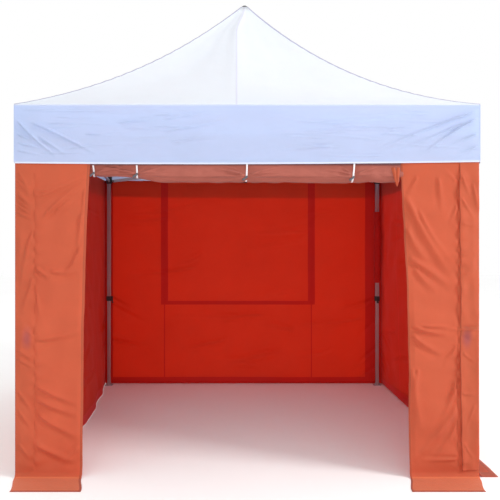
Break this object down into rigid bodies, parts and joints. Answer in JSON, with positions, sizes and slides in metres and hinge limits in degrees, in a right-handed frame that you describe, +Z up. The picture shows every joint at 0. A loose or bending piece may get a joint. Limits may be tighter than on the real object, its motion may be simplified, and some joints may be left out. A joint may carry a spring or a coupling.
{
  "type": "pop-up gazebo",
  "caption": "Square pop-up gazebo: folding scissor frame, peaked fabric roof with valance, fabric walls and a doorway with a rolled-up door.",
  "frame": {"origin": "on the ground, at the centre of the four stake holes, under the mast", "axes": "+Z up, the doorway faces -Y, +X to the right seen from the doorway side"},
  "size_m": [3.15, 3.385, 3.5625],
  "materials": {
    "bar_metal": "satin",
    "leg_metal": "satin",
    "inner_leg_metal": "satin",
    "connector_plastic": "satin",
    "lever_plastic": "satin",
    "cap_plastic": "matte",
    "roof_fabric": "matte",
    "valance_fabric": "matte",
    "wall_fabric": "matte",
    "tie_webbing": "matte"
  },
  "bodies": {
    "upper_hub": {"upper_hub": "connector_plastic", "canopy_roof": "roof_fabric", "canopy_valance": "valance_fabric"},
    "arm_falling_front": {"arm_falling_front": "bar_metal"},
    "arm_rising_front": {"arm_rising_front": "bar_metal"},
    "lower_hub": {"lower_hub": "connector_plastic", "mast": "leg_metal", "mast_cap": "cap_plastic"},
    "mid_top_front": {"mid_top_front": "connector_plastic", "wall_front": "wall_fabric", "door_ties": "tie_webbing"},
    "mid_bottom_front": {"mid_bottom_front": "connector_plastic"},
    "truss_front_right_rising": {"truss_front_right_rising": "bar_metal"},
    "truss_front_right_falling": {"truss_front_right_falling": "bar_metal"},
    "truss_front_left_rising": {"truss_front_left_rising": "bar_metal"},
    "truss_front_left_falling": {"truss_front_left_falling": "bar_metal"},
    "leg_front_left": {"leg_outer_front_left": "leg_metal"},
    "slider_front_left": {"slider_front_left": "connector_plastic"},
    "arm_falling_right": {"arm_falling_right": "bar_metal"},
    "arm_rising_right": {"arm_rising_right": "bar_metal"},
    "mid_top_right": {"mid_top_right": "connector_plastic", "wall_right": "wall_fabric"},
    "mid_bottom_right": {"mid_bottom_right": "connector_plastic"},
    "truss_right_right_rising": {"truss_right_right_rising": "bar_metal"},
    "truss_right_right_falling": {"truss_right_right_falling": "bar_metal"},
    "truss_right_left_rising": {"truss_right_left_rising": "bar_metal"},
    "truss_right_left_falling": {"truss_right_left_falling": "bar_metal"},
    "leg_front_right": {"leg_outer_front_right": "leg_metal"},
    "slider_front_right": {"slider_front_right": "connector_plastic"},
    "arm_falling_rear": {"arm_falling_rear": "bar_metal"},
    "arm_rising_rear": {"arm_rising_rear": "bar_metal"},
    "mid_top_rear": {"mid_top_rear": "connector_plastic", "wall_rear": "wall_fabric"},
    "mid_bottom_rear": {"mid_bottom_rear": "connector_plastic"},
    "truss_rear_right_rising": {"truss_rear_right_rising": "bar_metal"},
    "truss_rear_right_falling": {"truss_rear_right_falling": "bar_metal"},
    "truss_rear_left_rising": {"truss_rear_left_rising": "bar_metal"},
    "truss_rear_left_falling": {"truss_rear_left_falling": "bar_metal"},
    "leg_rear_right": {"leg_outer_rear_right": "leg_metal"},
    "slider_rear_right": {"slider_rear_right": "connector_plastic"},
    "arm_falling_left": {"arm_falling_left": "bar_metal"},
    "arm_rising_left": {"arm_rising_left": "bar_metal"},
    "mid_top_left": {"mid_top_left": "connector_plastic", "wall_left": "wall_fabric"},
    "mid_bottom_left": {"mid_bottom_left": "connector_plastic"},
    "truss_left_right_rising": {"truss_left_right_rising": "bar_metal"},
    "truss_left_right_falling": {"truss_left_right_falling": "bar_metal"},
    "truss_left_left_rising": {"truss_left_left_rising": "bar_metal"},
    "truss_left_left_falling": {"truss_left_left_falling": "bar_metal"},
    "leg_rear_left": {"leg_outer_rear_left": "leg_metal"},
    "slider_rear_left": {"slider_rear_left": "connector_plastic"},
    "inner_leg_front_left": {"leg_inner_front_left": "inner_leg_metal"},
    "lock_front_left": {"leg_lock_front_left": "lever_plastic"},
    "inner_leg_front_right": {"leg_inner_front_right": "inner_leg_metal"},
    "lock_front_right": {"leg_lock_front_right": "lever_plastic"},
    "inner_leg_rear_right": {"leg_inner_rear_right": "inner_leg_metal"},
    "lock_rear_right": {"leg_lock_rear_right": "lever_plastic"},
    "inner_leg_rear_left": {"leg_inner_rear_left": "inner_leg_metal"},
    "lock_rear_left": {"leg_lock_rear_left": "lever_plastic"},
    "door": {"door_roll": "wall_fabric"}
  },
  "joints": [
    {"name": "fold", "type": "hinge", "parent": "upper_hub", "child": "arm_falling_front", "pos_m": [0, -0.04, 2.36], "axis": [1, 0, 0], "range_deg": [0, 78.3], "deforming": ["canopy_roof", "canopy_valance", "wall_front", "wall_right", "wall_rear", "wall_left", "door_roll"]},
    {"name": "arm_rising_front_pivot", "type": "hinge", "parent": "arm_falling_front", "child": "arm_rising_front", "pos_m": [0, -0.72, 2.275], "axis": [1, 0, 0], "range_deg": [-156.7, 0]},
    {"name": "lower_hub_pivot", "type": "hinge", "parent": "arm_rising_front", "child": "lower_hub", "pos_m": [0, -0.04, 2.19], "axis": [1, 0, 0], "range_deg": [0, 78.4]},
    {"name": "mid_top_front_pivot", "type": "hinge", "parent": "arm_rising_front", "child": "mid_top_front", "pos_m": [0, -1.4, 2.36], "axis": [1, 0, 0], "range_deg": [0, 78.4]},
    {"name": "mid_bottom_front_pivot", "type": "hinge", "parent": "arm_falling_front", "child": "mid_bottom_front", "pos_m": [0, -1.4, 2.19], "axis": [1, 0, 0], "range_deg": [-78.4, 0]},
    {"name": "truss_front_right_rising_pivot", "type": "hinge", "parent": "mid_bottom_front", "child": "truss_front_right_rising", "pos_m": [0.03, -1.44, 2.19], "axis": [0, -1, 0], "range_deg": [0, 78.4]},
    {"name": "truss_front_right_falling_pivot", "type": "hinge", "parent": "mid_top_front", "child": "truss_front_right_falling", "pos_m": [0.03, -1.44, 2.36], "axis": [0, -1, 0], "range_deg": [-78.4, 0]},
    {"name": "truss_front_left_rising_pivot", "type": "hinge", "parent": "mid_bottom_front", "child": "truss_front_left_rising", "pos_m": [-0.03, -1.44, 2.19], "axis": [0, -1, 0], "range_deg": [-78.4, 0]},
    {"name": "truss_front_left_falling_pivot", "type": "hinge", "parent": "mid_top_front", "child": "truss_front_left_falling", "pos_m": [-0.03, -1.44, 2.36], "axis": [0, -1, 0], "range_deg": [0, 78.4]},
    {"name": "leg_front_left_pivot", "type": "hinge", "parent": "truss_front_left_rising", "child": "leg_front_left", "pos_m": [-1.39, -1.44, 2.36], "axis": [0, -1, 0], "range_deg": [0, 78.4]},
    {"name": "slider_front_left_pivot", "type": "hinge", "parent": "truss_front_left_falling", "child": "slider_front_left", "pos_m": [-1.39, -1.44, 2.19], "axis": [0, -1, 0], "range_deg": [-78.4, 0]},
    {"name": "arm_falling_right_pivot", "type": "hinge", "parent": "upper_hub", "child": "arm_falling_right", "pos_m": [0.04, 0, 2.36], "axis": [0, 1, 0], "range_deg": [0, 78.4]},
    {"name": "arm_rising_right_pivot", "type": "hinge", "parent": "arm_falling_right", "child": "arm_rising_right", "pos_m": [0.72, 0, 2.275], "axis": [0, 1, 0], "range_deg": [-156.7, 0]},
    {"name": "mid_top_right_pivot", "type": "hinge", "parent": "arm_rising_right", "child": "mid_top_right", "pos_m": [1.4, 0, 2.36], "axis": [0, 1, 0], "range_deg": [0, 78.4]},
    {"name": "mid_bottom_right_pivot", "type": "hinge", "parent": "arm_falling_right", "child": "mid_bottom_right", "pos_m": [1.4, 0, 2.19], "axis": [0, 1, 0], "range_deg": [-78.4, 0]},
    {"name": "truss_right_right_rising_pivot", "type": "hinge", "parent": "mid_bottom_right", "child": "truss_right_right_rising", "pos_m": [1.44, 0.03, 2.19], "axis": [1, 0, 0], "range_deg": [0, 78.4]},
    {"name": "truss_right_right_falling_pivot", "type": "hinge", "parent": "mid_top_right", "child": "truss_right_right_falling", "pos_m": [1.44, 0.03, 2.36], "axis": [1, 0, 0], "range_deg": [-78.4, 0]},
    {"name": "truss_right_left_rising_pivot", "type": "hinge", "parent": "mid_bottom_right", "child": "truss_right_left_rising", "pos_m": [1.44, -0.03, 2.19], "axis": [1, 0, 0], "range_deg": [-78.4, 0]},
    {"name": "truss_right_left_falling_pivot", "type": "hinge", "parent": "mid_top_right", "child": "truss_right_left_falling", "pos_m": [1.44, -0.03, 2.36], "axis": [1, 0, 0], "range_deg": [0, 78.4]},
    {"name": "leg_front_right_pivot", "type": "hinge", "parent": "truss_right_left_rising", "child": "leg_front_right", "pos_m": [1.44, -1.39, 2.36], "axis": [1, 0, 0], "range_deg": [0, 78.4]},
    {"name": "slider_front_right_pivot", "type": "hinge", "parent": "truss_right_left_falling", "child": "slider_front_right", "pos_m": [1.44, -1.39, 2.19], "axis": [1, 0, 0], "range_deg": [-78.4, 0]},
    {"name": "arm_falling_rear_pivot", "type": "hinge", "parent": "upper_hub", "child": "arm_falling_rear", "pos_m": [0, 0.04, 2.36], "axis": [-1, 0, 0], "range_deg": [0, 78.4]},
    {"name": "arm_rising_rear_pivot", "type": "hinge", "parent": "arm_falling_rear", "child": "arm_rising_rear", "pos_m": [0, 0.72, 2.275], "axis": [-1, 0, 0], "range_deg": [-156.7, 0]},
    {"name": "mid_top_rear_pivot", "type": "hinge", "parent": "arm_rising_rear", "child": "mid_top_rear", "pos_m": [0, 1.4, 2.36], "axis": [-1, 0, 0], "range_deg": [0, 78.4]},
    {"name": "mid_bottom_rear_pivot", "type": "hinge", "parent": "arm_falling_rear", "child": "mid_bottom_rear", "pos_m": [0, 1.4, 2.19], "axis": [-1, 0, 0], "range_deg": [-78.4, 0]},
    {"name": "truss_rear_right_rising_pivot", "type": "hinge", "parent": "mid_bottom_rear", "child": "truss_rear_right_rising", "pos_m": [-0.03, 1.44, 2.19], "axis": [0, 1, 0], "range_deg": [0, 78.4]},
    {"name": "truss_rear_right_falling_pivot", "type": "hinge", "parent": "mid_top_rear", "child": "truss_rear_right_falling", "pos_m": [-0.03, 1.44, 2.36], "axis": [0, 1, 0], "range_deg": [-78.4, 0]},
    {"name": "truss_rear_left_rising_pivot", "type": "hinge", "parent": "mid_bottom_rear", "child": "truss_rear_left_rising", "pos_m": [0.03, 1.44, 2.19], "axis": [0, 1, 0], "range_deg": [-78.4, 0]},
    {"name": "truss_rear_left_falling_pivot", "type": "hinge", "parent": "mid_top_rear", "child": "truss_rear_left_falling", "pos_m": [0.03, 1.44, 2.36], "axis": [0, 1, 0], "range_deg": [0, 78.4]},
    {"name": "leg_rear_right_pivot", "type": "hinge", "parent": "truss_rear_left_rising", "child": "leg_rear_right", "pos_m": [1.39, 1.44, 2.36], "axis": [0, 1, 0], "range_deg": [0, 78.4]},
    {"name": "slider_rear_right_pivot", "type": "hinge", "parent": "truss_rear_left_falling", "child": "slider_rear_right", "pos_m": [1.39, 1.44, 2.19], "axis": [0, 1, 0], "range_deg": [-78.4, 0]},
    {"name": "arm_falling_left_pivot", "type": "hinge", "parent": "upper_hub", "child": "arm_falling_left", "pos_m": [-0.04, 0, 2.36], "axis": [0, -1, 0], "range_deg": [0, 78.4]},
    {"name": "arm_rising_left_pivot", "type": "hinge", "parent": "arm_falling_left", "child": "arm_rising_left", "pos_m": [-0.72, 0, 2.275], "axis": [0, -1, 0], "range_deg": [-156.7, 0]},
    {"name": "mid_top_left_pivot", "type": "hinge", "parent": "arm_rising_left", "child": "mid_top_left", "pos_m": [-1.4, 0, 2.36], "axis": [0, -1, 0], "range_deg": [0, 78.4]},
    {"name": "mid_bottom_left_pivot", "type": "hinge", "parent": "arm_falling_left", "child": "mid_bottom_left", "pos_m": [-1.4, 0, 2.19], "axis": [0, -1, 0], "range_deg": [-78.4, 0]},
    {"name": "truss_left_right_rising_pivot", "type": "hinge", "parent": "mid_bottom_left", "child": "truss_left_right_rising", "pos_m": [-1.44, -0.03, 2.19], "axis": [-1, 0, 0], "range_deg": [0, 78.4]},
    {"name": "truss_left_right_falling_pivot", "type": "hinge", "parent": "mid_top_left", "child": "truss_left_right_falling", "pos_m": [-1.44, -0.03, 2.36], "axis": [-1, 0, 0], "range_deg": [-78.4, 0]},
    {"name": "truss_left_left_rising_pivot", "type": "hinge", "parent": "mid_bottom_left", "child": "truss_left_left_rising", "pos_m": [-1.44, 0.03, 2.19], "axis": [-1, 0, 0], "range_deg": [-78.4, 0]},
    {"name": "truss_left_left_falling_pivot", "type": "hinge", "parent": "mid_top_left", "child": "truss_left_left_falling", "pos_m": [-1.44, 0.03, 2.36], "axis": [-1, 0, 0], "range_deg": [0, 78.4]},
    {"name": "leg_rear_left_pivot", "type": "hinge", "parent": "truss_left_left_rising", "child": "leg_rear_left", "pos_m": [-1.44, 1.39, 2.36], "axis": [-1, 0, 0], "range_deg": [0, 78.4]},
    {"name": "slider_rear_left_pivot", "type": "hinge", "parent": "truss_left_left_falling", "child": "slider_rear_left", "pos_m": [-1.44, 1.39, 2.19], "axis": [-1, 0, 0], "range_deg": [-78.4, 0]},
    {"name": "leg_height_front_left", "type": "slide", "parent": "leg_front_left", "child": "inner_leg_front_left", "axis": [0, 0, 1], "range_m": [0, 0.86]},
    {"name": "leg_lock_front_left_flip", "type": "hinge", "parent": "leg_front_left", "child": "lock_front_left", "pos_m": [-1.44, -1.407, 0.945], "axis": [1, 0, 0], "range_deg": [0, 100]},
    {"name": "leg_height_front_right", "type": "slide", "parent": "leg_front_right", "child": "inner_leg_front_right", "axis": [0, 0, 1], "range_m": [0, 0.86]},
    {"name": "leg_lock_front_right_flip", "type": "hinge", "parent": "leg_front_right", "child": "lock_front_right", "pos_m": [1.407, -1.44, 0.945], "axis": [0, 1, 0], "range_deg": [0, 100]},
    {"name": "leg_height_rear_right", "type": "slide", "parent": "leg_rear_right", "child": "inner_leg_rear_right", "axis": [0, 0, 1], "range_m": [0, 0.86]},
    {"name": "leg_lock_rear_right_flip", "type": "hinge", "parent": "leg_rear_right", "child": "lock_rear_right", "pos_m": [1.44, 1.407, 0.945], "axis": [-1, 0, 0], "range_deg": [0, 100]},
    {"name": "leg_height_rear_left", "type": "slide", "parent": "leg_rear_left", "child": "inner_leg_rear_left", "axis": [0, 0, 1], "range_m": [0, 0.86]},
    {"name": "leg_lock_rear_left_flip", "type": "hinge", "parent": "leg_rear_left", "child": "lock_rear_left", "pos_m": [-1.407, 1.44, 0.945], "axis": [0, -1, 0], "range_deg": [0, 100]},
    {"name": "door_drop", "type": "slide", "parent": "mid_top_front", "child": "door", "axis": [0, 0, -1], "range_m": [0, 1.85], "deforming": ["door_ties"]}
  ],
  "couplings": [
    {"joint": "arm_rising_front_pivot", "follows": "fold", "ratio": -2},
    {"joint": "lower_hub_pivot", "follows": "fold", "ratio": 1},
    {"joint": "mid_top_front_pivot", "follows": "fold", "ratio": 1},
    {"joint": "mid_bottom_front_pivot", "follows": "fold", "ratio": -1},
    {"joint": "truss_front_right_rising_pivot", "follows": "fold", "ratio": 1},
    {"joint": "truss_front_right_falling_pivot", "follows": "fold", "ratio": -1},
    {"joint": "truss_front_left_rising_pivot", "follows": "fold", "ratio": -1},
    {"joint": "truss_front_left_falling_pivot", "follows": "fold", "ratio": 1},
    {"joint": "leg_front_left_pivot", "follows": "fold", "ratio": 1},
    {"joint": "slider_front_left_pivot", "follows": "fold", "ratio": -1},
    {"joint": "arm_falling_right_pivot", "follows": "fold", "ratio": 1},
    {"joint": "arm_rising_right_pivot", "follows": "fold", "ratio": -2},
    {"joint": "mid_top_right_pivot", "follows": "fold", "ratio": 1},
    {"joint": "mid_bottom_right_pivot", "follows": "fold", "ratio": -1},
    {"joint": "truss_right_right_rising_pivot", "follows": "fold", "ratio": 1},
    {"joint": "truss_right_right_falling_pivot", "follows": "fold", "ratio": -1},
    {"joint": "truss_right_left_rising_pivot", "follows": "fold", "ratio": -1},
    {"joint": "truss_right_left_falling_pivot", "follows": "fold", "ratio": 1},
    {"joint": "leg_front_right_pivot", "follows": "fold", "ratio": 1},
    {"joint": "slider_front_right_pivot", "follows": "fold", "ratio": -1},
    {"joint": "arm_falling_rear_pivot", "follows": "fold", "ratio": 1},
    {"joint": "arm_rising_rear_pivot", "follows": "fold", "ratio": -2},
    {"joint": "mid_top_rear_pivot", "follows": "fold", "ratio": 1},
    {"joint": "mid_bottom_rear_pivot", "follows": "fold", "ratio": -1},
    {"joint": "truss_rear_right_rising_pivot", "follows": "fold", "ratio": 1},
    {"joint": "truss_rear_right_falling_pivot", "follows": "fold", "ratio": -1},
    {"joint": "truss_rear_left_rising_pivot", "follows": "fold", "ratio": -1},
    {"joint": "truss_rear_left_falling_pivot", "follows": "fold", "ratio": 1},
    {"joint": "leg_rear_right_pivot", "follows": "fold", "ratio": 1},
    {"joint": "slider_rear_right_pivot", "follows": "fold", "ratio": -1},
    {"joint": "arm_falling_left_pivot", "follows": "fold", "ratio": 1},
    {"joint": "arm_rising_left_pivot", "follows": "fold", "ratio": -2},
    {"joint": "mid_top_left_pivot", "follows": "fold", "ratio": 1},
    {"joint": "mid_bottom_left_pivot", "follows": "fold", "ratio": -1},
    {"joint": "truss_left_right_rising_pivot", "follows": "fold", "ratio": 1},
    {"joint": "truss_left_right_falling_pivot", "follows": "fold", "ratio": -1},
    {"joint": "truss_left_left_rising_pivot", "follows": "fold", "ratio": -1},
    {"joint": "truss_left_left_falling_pivot", "follows": "fold", "ratio": 1},
    {"joint": "leg_rear_left_pivot", "follows": "fold", "ratio": 1},
    {"joint": "slider_rear_left_pivot", "follows": "fold", "ratio": -1}
  ]
}
